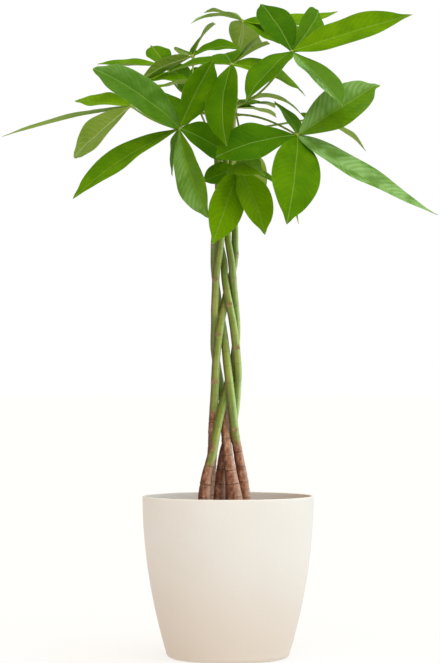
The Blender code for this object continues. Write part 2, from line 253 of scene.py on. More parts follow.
def remap(tree, value, low, high, to_low=0.0, to_high=1.0):
    """An S-shaped passage from to_low to to_high as the value goes from low to high."""
    places = {0: value, 1: low, 2: high, 3: to_low, 4: to_high}
    return add_node(tree, "ShaderNodeMapRange", places, interpolation_type="SMOOTHSTEP").outputs[0]


def blend(tree, share, first, second, way="MIX"):
    """A mix of two colours."""
    places = {0: share, 6: first, 7: second}
    return add_node(tree, "ShaderNodeMix", places, data_type="RGBA", blend_type=way).outputs[2]


def ramp(tree, value, stops):
    """A value turned into colours, with a colour at each stop."""
    node = add_node(tree, "ShaderNodeValToRGB", {0: value})
    while len(node.color_ramp.elements) < len(stops):
        node.color_ramp.elements.new(1.0)
    for element, (place, colour) in zip(node.color_ramp.elements, stops):
        element.position = place
        element.color = (*colour, 1)
    return node.outputs[0]


def mark(tree, name):
    """A number painted on the mesh."""
    return add_node(tree, "ShaderNodeAttribute", {}, attribute_name=name).outputs["Fac"]


def noise(tree, place, scale, detail=3.0, roughness=0.55, stretch=(1, 1, 1)):
    """Cloudy noise in metres, squeezed by stretch along each axis."""
    place = add_node(tree, "ShaderNodeMapping", {0: place, 3: stretch}).outputs[0]
    inputs = {"Vector": place, "Scale": scale, "Detail": detail, "Roughness": roughness}
    return add_node(tree, "ShaderNodeTexNoise", inputs).outputs[0]


def object_place(tree):
    """Where a point is, in metres from the origin under the pot."""
    return add_node(tree, "ShaderNodeTexCoord", {}).outputs["Object"]


def feed(tree, shader, colour, roughness):
    """Plugs a colour and a roughness into the shader."""
    tree.links.new(colour, shader.inputs["Base Color"])
    tree.links.new(roughness, shader.inputs["Roughness"])


def raise_bump(tree, shader, height, distance, strength=1.0):
    """Lets a value push the surface in and out by up to the distance."""
    inputs = {"Height": height, "Distance": distance, "Strength": strength}
    tree.links.new(add_node(tree, "ShaderNodeBump", inputs).outputs[0], shader.inputs["Normal"])


def glow(tree, shader, amount, colour):
    """Mixes a share of light that comes through the blade into the shader."""
    through = add_node(tree, "ShaderNodeBsdfTranslucent", {"Color": colour})
    mixed = add_node(tree, "ShaderNodeMixShader", {0: amount, 1: shader.outputs[0], 2: through.outputs[0]})
    tree.links.new(mixed.outputs[0], tree.nodes["Material Output"].inputs["Surface"])


print("finish tools ready")

# %% [markdown]
# ## The planter
#
# A planter like this is one injection moulding: a thin even wall, a flat foot with a soft corner, and
# a rim that is a half-round of the wall's own thickness. It is made by turning its outline about the
# pot's axis. The wall opens fast at the foot and stands almost upright at the mouth.

# %% Turn the planter
POT_HEIGHT = 188 * MM
POT_MOUTH_RADIUS = 100 * MM
POT_BELLY_FALL = 29.5 * MM
POT_BELLY_BEND = 1.95
POT_WALL = 2.5 * MM
POT_FLOOR = 4 * MM
FOOT_ROUND = 7 * MM
INNER_ROUND = 4 * MM
POT_COLUMNS = 288
RIM_POINTS = 13
INNER_POINTS = 7


def pot_radius(height):
    """Mouth radius minus the belly fall times (1 - share of the height) to the power of the bend."""
    return POT_MOUTH_RADIUS - POT_BELLY_FALL * (1 - height / POT_HEIGHT) ** POT_BELLY_BEND


def arc(centre, radius, start, end, count):
    """Radius and height of points on a circle, from one angle to another."""
    angle = np.radians(np.linspace(start, end, count))
    return np.column_stack([centre[0] + radius * np.cos(angle), centre[1] + radius * np.sin(angle)])


def turned(outline, columns):
    """Each (radius, height) of the outline taken once round the axis: (r cos turn, r sin turn, h)."""
    turn = np.arange(columns) / columns * TURN
    radius, height = outline[:, :1], outline[:, 1:]
    around = [radius * np.cos(turn), radius * np.sin(turn), np.broadcast_to(height, (len(outline), columns))]
    return np.stack(around, axis=-1)


foot = (pot_radius(FOOT_ROUND) - FOOT_ROUND, FOOT_ROUND)
rim = (POT_MOUTH_RADIUS - POT_WALL / 2, POT_HEIGHT - POT_WALL / 2)
climb = np.linspace(FOOT_ROUND, rim[1], 42)[1:-1]
descent = np.linspace(rim[1], POT_FLOOR + INNER_ROUND, 36)[1:]
inner_foot = (pot_radius(descent[-1]) - POT_WALL - INNER_ROUND, descent[-1])
outline = np.concatenate([
    [(0.5 * MM, 0), (foot[0] / 2, 0)],
    arc(foot, FOOT_ROUND, -90, 0, 9),
    np.column_stack([pot_radius(climb), climb]),
    arc(rim, POT_WALL / 2, 0, 180, RIM_POINTS),
    np.column_stack([pot_radius(descent) - POT_WALL, descent]),
    arc(inner_foot, INNER_ROUND, 0, -90, INNER_POINTS)[1:],
    [(0.5 * MM, POT_FLOOR)],
])
inside_rows = len(descent) + (RIM_POINTS + 1) // 2 + INNER_POINTS
inside = (np.arange(len(outline)) >= len(outline) - inside_rows).astype(float)
print("outline points:", len(outline), "widest radius:", outline[:, 0].max().round(4))

# %% [markdown]
# ### Cream plastic
#
# The moulding is matt: its tool was spark-eroded, which leaves a fine even grain that scatters the
# light. The grain here is a very small noise that moves the surface and the roughness. A slow drift in
# the cream keeps the wide plain wall from looking painted. Towards the foot the cream is painted
# darker and warmer, a painted shade where the floor sends back less light. The inside is painted
# paler to make up for the dark soil, which sends back little light. That is a cheat: it belongs to
# this light, not to the plastic.

# %% The planter's finish
cream_plastic, tree, shader = new_finish("cream_plastic", Specular_IOR_Level=0.32)
place = object_place(tree)
drift = noise(tree, place, 9, detail=2)
grain = noise(tree, place, 1400, detail=2)
colour = ramp(tree, drift, [(0.3, (0.785, 0.765, 0.715)), (0.7, (0.825, 0.81, 0.765))])
height = parts_of(tree, place)[2]
# Painted shade: the cream turns darker and warmer towards the foot, where the floor sends back less light.
colour = blend(tree, remap(tree, height, 0.0, 150 * MM, 0.75, 0.0), colour, (0.73, 0.62, 0.515, 1))
colour = blend(tree, mark(tree, "inside"), colour, (0.94, 0.92, 0.88, 1))
specks = ramp(tree, grain, [(0.3, (0.95, 0.95, 0.94)), (0.7, (1, 1, 1))])
feed(tree, shader, blend(tree, 1.0, colour, specks, "MULTIPLY"), remap(tree, grain, 0.3, 0.7, 0.48, 0.62))
raise_bump(tree, shader, grain, 0.06 * MM, 0.35)

wall = rolled(turned(outline, POT_COLUMNS), inside=inside[:, None])
planter = add_piece("planter", [wall], [cream_plastic], "pot")
print("planter faces:", len(planter.data.polygons))

# %% [markdown]
# ## Potting soil
#
# The root ball fills the pot to a little under the rim and rises gently to the stems. Its top is a disc
# of rings whose heights are the gentle dome plus three sizes of lumps. Loose crumbs and a few bark
# chips lie on it, because soil that is only a bumpy sheet looks like cloth.

# %% Heap the soil
SOIL_TOP = 162 * MM
SOIL_DOME = 4 * MM
SOIL_GAP = 0.6 * MM
SOIL_COLUMNS = 240


def soil_height(radius_share, turn_share):
    """The dome, (1 - share squared) high, plus coarse, middling and fine lumps that fade at the wall."""
    fade = 1 - ease(0.9, 1.0, radius_share)
    lumps = 1.1 * patches(11, radius_share, turn_share, 7, 22)
    lumps = lumps + 0.7 * patches(12, radius_share, turn_share, 19, 61)
    lumps = lumps + 0.45 * patches(13, radius_share, turn_share, 46, 150)
    return SOIL_TOP + SOIL_DOME * (1 - radius_share ** 2) + (lumps * fade - 0.9) * MM


soil_radius = pot_radius(SOIL_TOP) - POT_WALL - SOIL_GAP
share = np.linspace(0.004, 1, 110)[:, None]
turn_share = (np.arange(SOIL_COLUMNS) / SOIL_COLUMNS)[None]
heights = soil_height(share, turn_share)
turn = turn_share * TURN
reach = soil_radius * share
soil_top = np.stack([reach * np.cos(turn), reach * np.sin(turn), heights], axis=-1)
depth = np.linspace(SOIL_TOP - 8 * MM, POT_FLOOR + 4 * MM, 14)
side = turned(np.column_stack([pot_radius(depth) - POT_WALL - SOIL_GAP, depth]), SOIL_COLUMNS)
floor_ring = turned(np.array([[0.8 * side[-1, 0, 0], POT_FLOOR + 0.3 * MM]]), SOIL_COLUMNS)
soil_points = np.concatenate([soil_top, side, floor_ring])
print("soil from", soil_points[..., 2].min().round(4), "to", soil_points[..., 2].max().round(4))

# %% [markdown]
# ### Crumbs and chips
#
# Each crumb is a tiny rolled grid of five rings: a lumpy pebble with its own size, stretch and turn.
# About one in eight is stretched into a splinter of bark.

# %% Scatter the crumbs
CRUMBS = 620
CRUMB_RINGS = 5
CRUMB_SIDES = 7


def crumb(chance, centre, size, stretch):
    """A pebble: ring radius sin(latitude), height cos(latitude), each point pushed by chance."""
    latitude = np.linspace(0.25, np.pi - 0.25, CRUMB_RINGS)[:, None]
    longitude = (np.arange(CRUMB_SIDES) / CRUMB_SIDES * TURN)[None]
    wide = np.sin(latitude) * np.cos(longitude)
    deep = np.sin(latitude) * np.sin(longitude)
    tall = np.cos(latitude) * np.ones_like(longitude)
    shape = np.stack([wide * stretch, deep, tall * 0.7], axis=-1)
    shape = shape * chance.uniform(0.72, 1.2, shape.shape[:2])[..., None] * size
    turned_by, _ = np.linalg.qr(chance.normal(size=(3, 3)))
    flat = np.array([1, 1, 0.55])
    return centre + (shape @ turned_by) * flat


chance = np.random.default_rng(5)
loose = []
for _ in range(CRUMBS):
    share = 0.97 * np.sqrt(chance.uniform(0.0, 1.0))
    way = chance.uniform(0.0, 1.0)
    is_chip = chance.uniform() < 0.12
    size = chance.uniform(0.7, 2.0) * MM
    height = soil_height(np.array(share), np.array(way)) + size * 0.3
    reach = (soil_radius - 5 * MM) * share
    centre = np.array([reach * np.cos(way * TURN), reach * np.sin(way * TURN), height])
    stretch = chance.uniform(2.2, 3.6) if is_chip else chance.uniform(0.9, 1.4)
    points = crumb(chance, centre, size, stretch)
    loose.append(rolled(points, woody=float(is_chip), tint=chance.uniform(0.0, 1.0)))
print("crumbs:", len(loose))

# %% [markdown]
# ### Soil finish
#
# Moist peat is nearly black, and drier crumbs turn brown. Height does the rest: the noise that darkens
# the hollows is the same one that pushes them in, so the shading agrees with the relief.

# %% The soil's finish
moist_peat, tree, shader = new_finish("moist_peat", Specular_IOR_Level=0.2)
place = object_place(tree)
clods = noise(tree, place, 160, detail=6, roughness=0.7)
fibres = noise(tree, place, 900, detail=4, roughness=0.7, stretch=(1, 1, 2.5))
peat = ramp(tree, clods, [(0.3, (0.010, 0.006, 0.004)), (0.52, (0.042, 0.024, 0.014)),
                          (0.75, (0.13, 0.078, 0.045))])
chips = ramp(tree, fibres, [(0.3, (0.07, 0.032, 0.015)), (0.7, (0.28, 0.15, 0.075))])
colour = blend(tree, mark(tree, "woody"), peat, chips)
dry = ramp(tree, mark(tree, "tint"), [(0.0, (0.75, 0.75, 0.75)), (1.0, (1.25, 1.15, 1.05))])
feed(tree, shader, blend(tree, 1.0, colour, dry, "MULTIPLY"), remap(tree, clods, 0.3, 0.7, 0.95, 0.72))
raise_bump(tree, shader, math(tree, "ADD", clods, times(tree, fibres, 0.3)), 1.2 * MM, 0.8)

soil = add_piece("potting_soil_bed", [rolled(soil_points, tint=0.3)], [moist_peat], "potting_soil")
crumbs = add_piece("soil_crumbs", loose, [moist_peat], None, sharp_angle=35)
print("soil faces:", len(soil.data.polygons), "crumb faces:", len(crumbs.data.polygons))

# %% [markdown]
# ## Five braided stems
#
# Growers weave young stems while they bend. Each stem here follows a route of points, height by height,
# and the routes pass in front of and behind each other. Below the braid the stems swell into corky
# feet that stand in the soil.

# %% The stems' routes
# Each route in mm: height, sideways, depth. BARK_TOP is where a stem's cork gives way to green skin.
STEM_ROUTES = {
    "stem_left": {
        "foot_swell": 2.2, "foot_length": 26,
        "route": [
            (142, -29, -15), (181, -28, -13), (210, -25.5, -12), (240, -17.6, -11), (265, -13.2, -10),
            (290, -7.5, -5.5), (315, -0.8, 1.0), (345, 6.0, 6.0), (363, 9.0, 6.2), (390, 9.8, 5.0),
            (427, 6.8, 1.0), (445, 5.5, -4.2), (462, 3.8, -5.0), (491, -0.4, -2.2), (532, -1.2, -0.5),
            (579, 3.5, 1.0), (635, 7.0, 0), (655, 10, 0)]},
    "stem_back": {
        "foot_swell": 4.0, "foot_length": 22,
        "route": [
            (142, -12.5, 19), (181, -11.7, 18), (210, -9.0, 16), (240, -4.5, 9), (265, 3.5, 8),
            (290, 8.5, 5), (315, 10.6, 3), (333, 11.4, -3), (363, 9.0, -4.8), (390, 5.6, -6.4),
            (427, -1.6, -5.0), (445, -4.0, -1.0), (462, -4.9, 3), (491, -10.5, 6), (532, -11.2, 6),
            (579, -10.5, 6), (617, -10.5, 7)]},
    "stem_centre": {
        "foot_swell": 5.0, "foot_length": 36,
        "route": [
            (142, 8.0, -3), (181, 7.0, -3), (210, 3.6, -3), (240, -0.8, -4), (265, -3.2, -1),
            (290, -4.8, 6), (307, -7.3, 8.5), (315, -8.7, 9), (345, -13.8, 6.5), (363, -16.0, 6),
            (390, -15.6, 2.0), (405, -15.7, -1.5), (427, -14.8, -4.0), (445, -14.0, -4.6), (462, -11.4, -5.4),
            (491, -7.6, -8.2), (532, -4.2, -8.6), (579, -2.3, -8), (645, -2.3, -7)]},
    "stem_right": {
        "foot_swell": 2.2, "foot_length": 40,
        "route": [
            (142, 20.0, 12), (181, 19.2, 11), (210, 16.6, 9), (240, 11.4, 2.6), (265, 7.3, -5.4),
            (290, 4.8, -8.5), (315, 2.0, -10), (345, -1.5, -5), (363, -3.2, -1), (390, -7.0, 6.5),
            (405, -10.2, 8.4), (427, -12.9, 7), (445, -15.2, 6), (462, -16.4, 3.5), (491, -15.6, -3),
            (532, -12.0, -4.5), (579, -13.0, -3), (610, -17, -3), (638, -25, -3), (668, -29, -2)]},
    "stem_hidden": {
        "foot_swell": 3.3, "foot_length": 40,
        "route": [
            (142, -26.0, 6.5), (181, -25.7, 6), (210, -21.6, 6), (240, -18.4, 2.5), (265, -17.8, 1.5),
            (290, -16.6, 0), (315, -15.3, -3), (345, -14.0, -5.2), (363, -12.2, -5.6), (390, -8.5, -6.2),
            (400, -6.6, -3), (412, -4.2, 1.2), (427, -1.0, 6.5), (445, 4.0, 6.5), (462, 7.6, 5.2),
            (491, 8.2, 4), (532, 7.8, 5), (556, 11.1, 5), (591, 14.0, 5)]},
}

BARK_TOP = {"stem_left": 246, "stem_back": 268, "stem_centre": 292, "stem_right": 262, "stem_hidden": 286}
STEM_BASE_RADIUS = 5.1 * MM
STEM_TOP_RADIUS = 2.8 * MM
BRAID_START = 250 * MM
CROWN_HEIGHT = 660 * MM
FOOT_HEIGHT = 181 * MM
STEM_TAPER = 1.3


def stem_centre(spec, heights):
    """The centre line at the heights.

    Between two points of the route it is a cubic in height, which leaves and arrives with the slope
    between the points on either side.
    """
    route = np.array(spec["route"], float) * MM
    level, spot = route[:, 0], route[:, 1:]
    here = np.clip(np.searchsorted(level, heights, side="right") - 1, 0, len(level) - 2)
    before, after = np.maximum(here - 1, 0), np.minimum(here + 2, len(level) - 1)
    rise = (level[here + 1] - level[here])[:, None]
    share = (heights - level[here])[:, None] / rise
    slope_in = (spot[here + 1] - spot[before]) / (level[here + 1] - level[before])[:, None] * rise
    slope_out = (spot[after] - spot[here]) / (level[after] - level[here])[:, None] * rise
    centre = spot[here] * (2 * share ** 3 - 3 * share ** 2 + 1)
    centre = centre + spot[here + 1] * (3 * share ** 2 - 2 * share ** 3)
    centre = centre + slope_in * (share ** 3 - 2 * share ** 2 + share) + slope_out * (share ** 3 - share ** 2)
    return np.column_stack([centre, heights])


def stem_radius(spec, heights):
    """A taper from the base to the crown, plus a swelling that dies away above the foot."""
    share = np.clip((heights - BRAID_START) / (CROWN_HEIGHT - BRAID_START), 0, 1)
    taper = STEM_BASE_RADIUS + (STEM_TOP_RADIUS - STEM_BASE_RADIUS) * share ** STEM_TAPER
    above = np.maximum(heights - FOOT_HEIGHT, 0) / (spec["foot_length"] * MM)
    return taper + spec["foot_swell"] * MM * np.exp(-above ** 1.5)


print("stems:", ", ".join(STEM_ROUTES))

# %% [markdown]
# ### Bark, rings and scars
#
# Three things give the stems their character. Cork covers the feet: brown, flaky, with thin dark rings
# every couple of centimetres where old leaves sat. Above it the skin is still green and smooth. And
# where a leaf fell more lately there is a scar, a small brown cushion. All three change the radius and
# paint a mark that the finish reads: `cork`, `ring` and `scar`.

# %% Shape the stems
STEM_SIDES = 44
STEM_ROWS = 560
STEM_ROUNDING = 3 * MM
RING_SPACING = 17 * MM
# Scars that face the front: stem, height and turn from the front in mm and degrees.
SCARS = [("stem_back", 412, 5), ("stem_back", 361, 25), ("stem_hidden", 377, -8), ("stem_hidden", 322, -20),
         ("stem_right", 483, -30), ("stem_right", 266, 20), ("stem_centre", 441, -15),
         ("stem_centre", 560, 20),
         ("stem_left", 545, 30), ("stem_left", 585, -25), ("stem_left", 330, 60), ("stem_back", 520, -30),
         ("stem_right", 560, 15), ("stem_hidden", 470, 50), ("stem_centre", 500, 35)]
FRONT_SHARE = 0.75               # how far round its ring a stem looks to the front, along -Y
RIGHT_SHARE = 0.5                # and to the right, along +X
SCAR_TALL = 4.2 * MM
SCAR_WIDE = 0.32                 # as a share of the half turn
# Islands of green skin left in the cork: stem, height, turn from the front.
GREEN_ISLANDS = [("stem_left", 229, -10), ("stem_right", 257, 40), ("stem_left", 238, 30)]


def spots(name, heights, around, listed, tall, wide):
    """1 at each listed spot, falling off as a bell over its height and its turn, 0 elsewhere."""
    total = np.zeros(np.broadcast_shapes(heights.shape, around.shape))
    for stem, level, turn in listed:
        if stem == name:
            apart = np.abs((around - (FRONT_SHARE - turn / 360) + 0.5) % 1 - 0.5) * 2
            total = total + np.exp(-((heights - level * MM) / tall) ** 2 - (apart / wide) ** 2)
    return np.clip(total, 0, 1)


def stem(name, spec, seed):
    """A tube whose radius is the stem's own plus cork flakes, leaf rings, scar cushions and waves."""
    low, high = spec["route"][0][0] * MM, spec["route"][-1][0] * MM
    level = np.linspace(low, high, STEM_ROWS)
    heights = level[:, None]
    around = (np.arange(STEM_SIDES) / STEM_SIDES)[None]
    share = (heights - low) / (high - low)
    edge = 10 * patches(seed, share, around, 14, 5) + 5 * patches(seed + 1, share, around, 60, 9)
    cork = 1 - ease(-6, 6, heights / MM - BARK_TOP[name] + edge)
    cork = cork * (1 - spots(name, heights, around, GREEN_ISLANDS, 6 * MM, 0.35))
    scar = spots(name, heights, around, SCARS, SCAR_TALL, SCAR_WIDE)
    place = heights / RING_SPACING + 0.25 * patches(seed + 2, share, around * 0, 18, 3)
    place = place + 0.03 * patches(seed + 3, share, around, 30, 6)
    off_ring = np.abs((place + 0.5) % 1 - 0.5) * RING_SPACING / MM
    ring = np.exp(-(off_ring / 0.5) ** 2)
    collar = np.exp(-((off_ring - 1.1) / 0.9) ** 2)
    flakes = patches(seed + 4, share, around, 150, 13) + 0.6 * patches(seed + 5, share, around, 260, 29)
    waves = 0.10 * patches(seed + 6, share, around, 24, 4)
    relief = cork * (0.24 * flakes - 0.42 * ring + 0.22 * collar) + (1 - cork) * 0.10 * (collar - ring)
    relief = (relief + waves + 0.75 * scar - 0.5 * spots(name, heights, around, SCARS, 1.2 * MM, 0.12)) * MM
    from_end = np.minimum(heights - low, high - heights) / STEM_ROUNDING
    closing = np.sqrt(np.clip(1 - (1 - from_end).clip(0) ** 2, 0.03, 1))
    # Painted light: 1 on the side that faces right and 0 on the left. The finish paints that side pale and
    # the other dark, as if a lamp stood at the right.
    sunny = 0.5 + 0.5 * np.cos(TURN * (around - RIGHT_SHARE))
    radii = (stem_radius(spec, level)[:, None] + relief) * closing
    points = swept(stem_centre(spec, level), radii, STEM_SIDES, guide=np.array([0, 1, 0]))
    return rolled(points, cork=cork, scar=scar, ring=ring * (0.35 + 0.65 * cork), sunny=sunny)


stem_grids = {name: stem(name, spec, 100 + 10 * index)
              for index, (name, spec) in enumerate(STEM_ROUTES.items())}
print("stem points:", sum(grid["points"][..., 0].size for grid in stem_grids.values()))

# %% [markdown]
# ### Bark finish
#
# One finish serves cork and green skin, and the `cork` mark says which. Cork goes from dark in its cracks
# to pale where it flakes. The skin goes from green to yellow in blotches, with fine tan streaks that run
# up the stem. One mark is 1 on the side that faces right and 0 on the left. It paints light and shade
# into the stems as if a strong lamp stood at the right: painted light on one side and painted shade on
# the other, on cork and skin alike. That is a cheat too, and it stays with the stems when the plant is
# turned.

# %% The stems' finish
ringed_bark, tree, shader = new_finish("ringed_bark", Specular_IOR_Level=0.5)
place = object_place(tree)
cork, scar, ring = mark(tree, "cork"), mark(tree, "scar"), mark(tree, "ring")
# Painted light and shade: the right side of each stem is painted pale and the left side dark.
sunny = mark(tree, "sunny")
plates = noise(tree, place, 210, detail=5, roughness=0.62, stretch=(1, 1, 0.8))
streaks = noise(tree, place, 420, detail=3, stretch=(1, 1, 0.10))
blotches = noise(tree, place, 48, detail=3, stretch=(1, 1, 0.3))
cork_colour = ramp(tree, plates, [(0.30, (0.10, 0.032, 0.013)), (0.42, (0.27, 0.098, 0.044)),
                                  (0.56, (0.42, 0.19, 0.10)), (0.70, (0.68, 0.44, 0.30))])
cork_colour = blend(tree, remap(tree, sunny, 0.55, 0.95, 0.0, 0.6), cork_colour, (0.75, 0.51, 0.38, 1))
cork_colour = blend(tree, remap(tree, sunny, 0.05, 0.42, 0.75, 0.0), cork_colour, (0.09, 0.026, 0.012, 1))
skin = ramp(tree, blotches, [(0.36, (0.105, 0.20, 0.012)), (0.50, (0.175, 0.255, 0.018)),
                             (0.64, (0.30, 0.33, 0.035))])
skin = blend(tree, remap(tree, sunny, 0.52, 0.95, 0.0, 0.85), skin, (0.52, 0.72, 0.26, 1))
skin = blend(tree, remap(tree, sunny, 0.08, 0.45, 0.85, 0.0), skin, (0.085, 0.075, 0.012, 1))
tan = remap(tree, streaks, 0.52, 0.74, 0.0, 0.55)
skin = blend(tree, tan, skin, (0.36, 0.25, 0.10, 1))
colour = blend(tree, cork, skin, cork_colour)
colour = blend(tree, times(tree, ring, 0.75), colour, (0.055, 0.026, 0.015, 1))
scar_colour = ramp(tree, plates, [(0.38, (0.11, 0.055, 0.020)), (0.62, (0.38, 0.235, 0.10))])
ragged = times(tree, scar, remap(tree, plates, 0.35, 0.6, 0.35, 1.2))
colour = blend(tree, remap(tree, ragged, 0.3, 0.8), colour, scar_colour)
feed(tree, shader, colour, remap(tree, cork, 0, 1, 0.30, 0.62))
rough_height = times(tree, plates, remap(tree, cork, 0, 1, 0.12, 1.0))
raise_bump(tree, shader, math(tree, "ADD", rough_height, times(tree, streaks, 0.2)), 0.5 * MM, 0.7)

for name, grid in stem_grids.items():
    piece = add_piece(name + "_bark", [grid], [ringed_bark], name)
    print(piece.name, "faces:", len(piece.data.polygons))

# %% [markdown]
# ## Leaves
#
# A money tree's leaf is compound: one long stalk, the petiole, ends in a small hub from which leaflets
# spread like fingers. `LEAVES` gives each leaf in mm: the stem and height it grows from, the compass
# angle it leaves at, how steeply it arrives at its hub (negative comes from above) and the hub.
# A leaflet is its tip from the hub (x, y, z), width, face angle in degrees, arch, sideways bend and
# widest place. Face angle 0 shows the glossy side to the front, 90 is edge on, 180 the underside.

# %% The leaves' places
LEAVES = {
    "leaf_upper_right": {
        "stem": "stem_left", "height": 647, "compass": -20, "arrival": 0.5, "hub": (74, -30, 704),
        "leaflets": [
            ((138, -20, 40), 50, 44, 1, 0, 0.48),
            ((54, -80, -73), 47, 50, 3, 0, 0.52),
            ((-35, 60, 66), 42, 20, 6, 0, 0.50),
            ((34, 70, 60), 40, -35, 6, 0, 0.55),
            ((2, 95, 47), 34, 20, 8, 0, 0.50),
            ((-54, -60, -66), 46, 48, 6, 0, 0.45)]},
    "leaf_top": {
        "stem": "stem_centre", "height": 640, "compass": 100, "arrival": 0.5, "hub": (18, 90, 760),
        "leaflets": [
            ((117, 20, 15), 40, 60, -8, 5, 0.50),
            ((-47, 30, 15), 30, 80, 5, 0, 0.50),
            ((-62, -30, -8), 32, 84, 8, 0, 0.50),
            ((-4, 60, -32), 40, 165, 8, 0, 0.55),
            ((52, 10, -28), 40, 45, 5, 0, 0.50)]},
    "leaf_top_front": {
        "stem": "stem_centre", "height": 636, "compass": -80, "arrival": 0.5, "hub": (4, -50, 686),
        "leaflets": [
            ((-6, -60, -100), 44, -35, 6, 4, 0.48),
            ((-9, 80, 24), 34, 10, 4, 0, 0.50),
            ((90, 130, -19), 40, 53, 10, 0, 0.50),
            ((36, 90, 40), 28, 88, 2, 0, 0.60),
            ((45, 50, 32), 26, 88, 2, 0, 0.60),
            ((-74, 40, -4), 40, 70, 6, 0, 0.50)]},
    "leaf_left": {
        "stem": "stem_right", "height": 636, "compass": 210, "arrival": 0.3, "hub": (-56, -60, 611),
        "leaflets": [
            ((-97, -40, 63), 50, 38, 9, 0, 0.52),
            ((39, -2, 79), 44, -40, 4, -5, 0.55),
            ((-120, -30, -83), 47, 53, 7, 0, 0.54),
            ((34, -40, -106), 44, -45, 6, 0, 0.56),
            ((62, 40, -30), 46, 35, 5, 0, 0.50),
            ((-10, 80, -47), 30, 75, 2, 0, 0.55),
            ((-33, 50, 53), 46, 50, 4, 0, 0.50)]},
    "leaf_right": {
        "stem": "stem_left", "height": 634, "compass": -30, "arrival": -0.2, "hub": (79, -70, 602),
        "leaflets": [
            ((95, 10, 62), 53, 25, 0, 0, 0.52),
            ((156, -40, -94), 48, 57, -4, 0, 0.36),
            ((-14, -60, -106), 58, 15, 8, 0, 0.50),
            ((-93, -30, -28), 50, 30, 8, 0, 0.62),
            ((-25, 55, 46), 34, 60, 3, 0, 0.50)]},
    "leaf_low_front": {
        "stem": "stem_hidden", "height": 586, "compass": -60, "arrival": 0.5, "hub": (12, -40, 568),
        "leaflets": [
            ((-30, -40, -91), 44, -25, 0, 0, 0.50),
            ((30, -20, -79), 44, 30, 6, 0, 0.50),
            ((29, -55, -14), 44, 15, 18, 0, 0.50),
            ((-42, -5, -16), 30, 30, 0, 0, 0.50),
            ((71, 50, -61), 36, 80, 15, 0, 0.50)]},
    "leaf_far_left": {
        "stem": "stem_back", "height": 612, "compass": 165, "arrival": 0.5, "hub": (-115, 40, 650),
        "leaflets": [
            ((-152, -20, -39), 40, 85, 3, 0, 0.50),
            ((-66, -40, -66), 46, 122, 3, 0, 0.62),
            ((-70, 40, 11), 44, 60, 1, 0, 0.55),
            ((8, 80, 24), 40, 40, 6, 0, 0.50)]},
    "leaf_upper_left": {
        "stem": "stem_right", "height": 664, "compass": 150, "arrival": 0.5, "hub": (-42, 50, 711),
        "leaflets": [
            ((27, 80, 52), 32, 80, 4, 0, 0.50),
            ((-14, 80, 10), 34, 60, 6, 0, 0.50),
            ((60, -5, 7), 36, 60, 7, 0, 0.50),
            ((-62, -30, -33), 28, 118, 3, 0, 0.55)]},
    "leaf_outer_left": {
        "stem": "stem_right", "height": 655, "compass": 175, "arrival": 0.5, "hub": (-75, 80, 704),
        "leaflets": [
            ((-82, -20, -1), 38, 72, 0, 0, 0.50),
            ((-20, 48, 32), 30, 20, 1, 0, 0.45),
            ((34, 70, -26), 34, 30, 5, 0, 0.50)]},
    "leaf_inner_left": {
        "stem": "stem_back", "height": 603, "compass": 110, "arrival": 0.5, "hub": (-45, 30, 677),
        "leaflets": [
            ((-57, 20, 4), 38, 65, 3, 0, 0.50),
            ((-42, -40, -15), 32, 80, 2, 0, 0.50),
            ((30, 70, 10), 36, 40, 6, 0, 0.50)]},
    "leaf_inner_right": {
        "stem": "stem_hidden", "height": 588, "compass": 60, "arrival": 0.5, "hub": (9, 20, 645),
        "leaflets": [
            ((49, 80, 10), 34, 70, 6, 0, 0.50),
            ((50, 60, -4), 30, 80, 4, 0, 0.50),
            ((80, -10, -12), 34, 86, 18, 0, 0.50),
            ((-58, 70, 6), 36, 50, 6, 0, 0.50)]},
    "leaf_back_right": {
        "stem": "stem_left", "height": 618, "compass": 40, "arrival": 0.0, "hub": (95, 30, 632),
        "leaflets": [
            ((70, 20, -35), 40, 85, 8, 0, 0.50),
            ((47, 70, 20), 34, 60, 4, 0, 0.50),
            ((25, 100, 19), 34, 60, 4, 0, 0.50)]},
    "leaf_low_back": {
        "stem": "stem_back", "height": 592, "compass": 60, "arrival": 0.5, "hub": (5, 80, 611),
        "leaflets": [
            ((37, 60, -67), 42, 150, 8, 0, 0.50),
            ((-8, 80, -72), 42, 160, 8, 0, 0.50),
            ((23, 110, -13), 42, 150, 8, 0, 0.50),
            ((-39, 80, 9), 40, 120, 8, 0, 0.50)]},
}
print("leaves:", len(LEAVES), "leaflets:", sum(len(leaf["leaflets"]) for leaf in LEAVES.values()))
